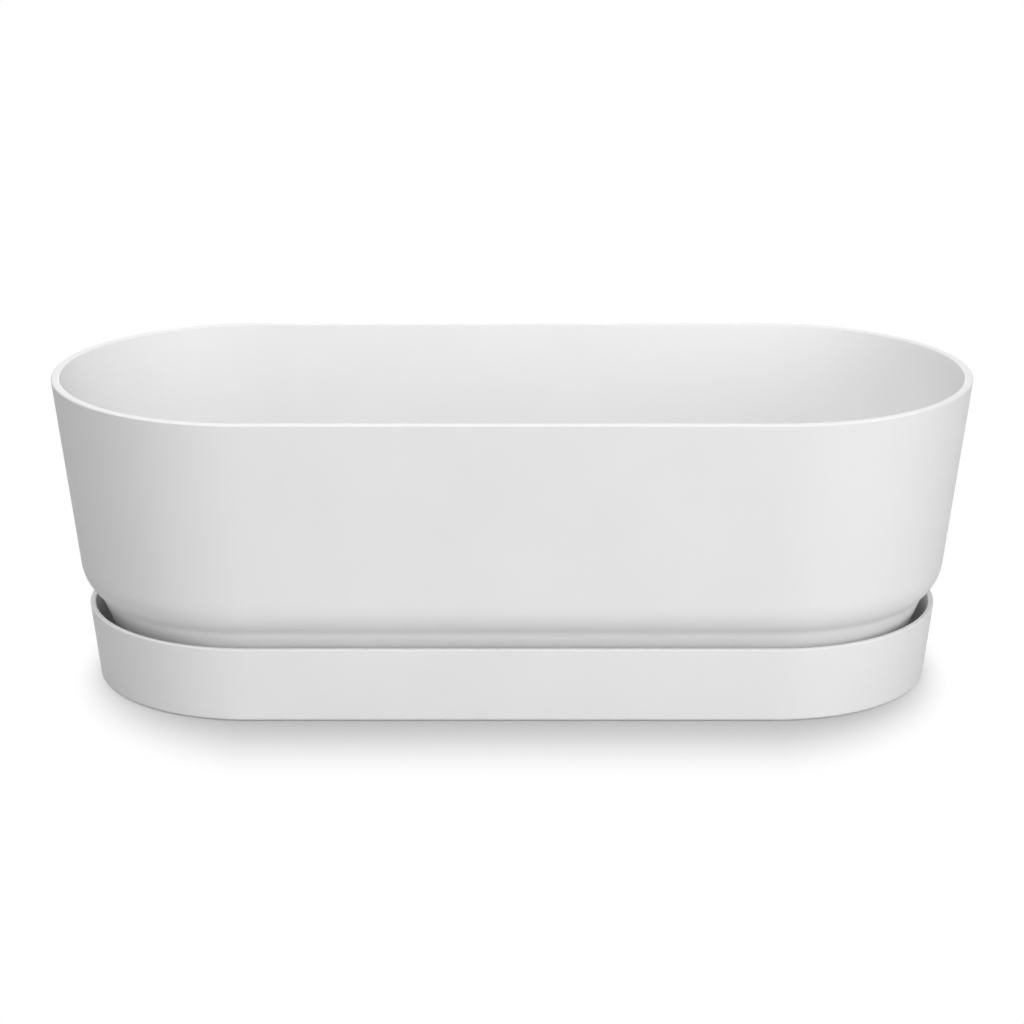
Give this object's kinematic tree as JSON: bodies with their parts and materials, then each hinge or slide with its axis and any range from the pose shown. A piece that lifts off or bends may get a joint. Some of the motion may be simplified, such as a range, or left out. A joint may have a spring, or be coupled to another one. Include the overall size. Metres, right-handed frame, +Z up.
{
  "type": "balcony planter",
  "caption": "Long white plastic planter with round ends and a narrowed foot, standing loose in a deep matching saucer that catches the water draining from its floor.",
  "frame": {"origin": "middle of the saucer's underside, on the surface that the planter stands on", "axes": "+X along the length, +Y across it from the front to the back, +Z up out of the trough's mouth"},
  "size_m": [0.5, 0.217, 0.17],
  "materials": {
    "trough_plastic": "satin moulded white polypropylene",
    "saucer_plastic": "satin moulded white polypropylene"
  },
  "bodies": {
    "saucer": {"saucer": "saucer_plastic"},
    "trough": {"trough": "trough_plastic"}
  },
  "joints": [
    {"name": "trough_lift", "type": "slide", "parent": "saucer", "child": "trough", "axis": [0, 0, 1], "range_m": [0, 0.08]}
  ]
}
